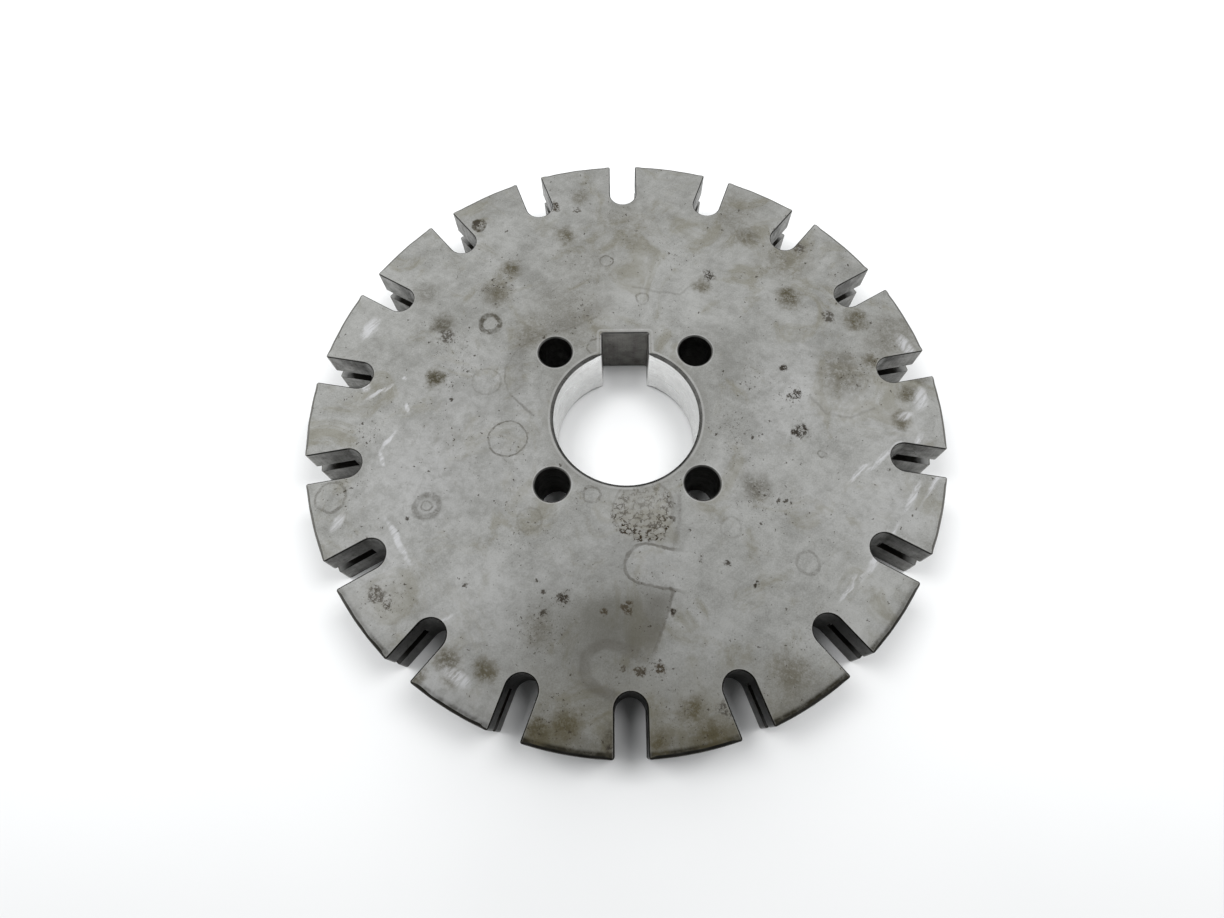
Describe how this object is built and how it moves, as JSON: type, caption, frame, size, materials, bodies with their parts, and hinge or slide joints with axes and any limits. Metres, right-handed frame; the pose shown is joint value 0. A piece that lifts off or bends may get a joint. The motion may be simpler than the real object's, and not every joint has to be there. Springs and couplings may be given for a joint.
{
  "type": "face mill body",
  "caption": "Slotted steel disc body of a face mill, with a keyed bore, screw holes round the bore, radial blade slots in the rim and a turned groove around the rim.",
  "frame": {"origin": "centre of the bore on the rear face, which lies on z = 0", "axes": "+Z along the bore axis towards the front face, +Y from the axis through the keyway, +X completes the frame"},
  "size_m": [0.13, 0.1298, 0.015],
  "materials": {
    "worn_steel": "old ground steel, dull grey with stains, fine scratches and specks of rust, brighter in the bore"
  },
  "bodies": {
    "root": {"cutter_body": "worn_steel"}
  },
  "joints": []
}
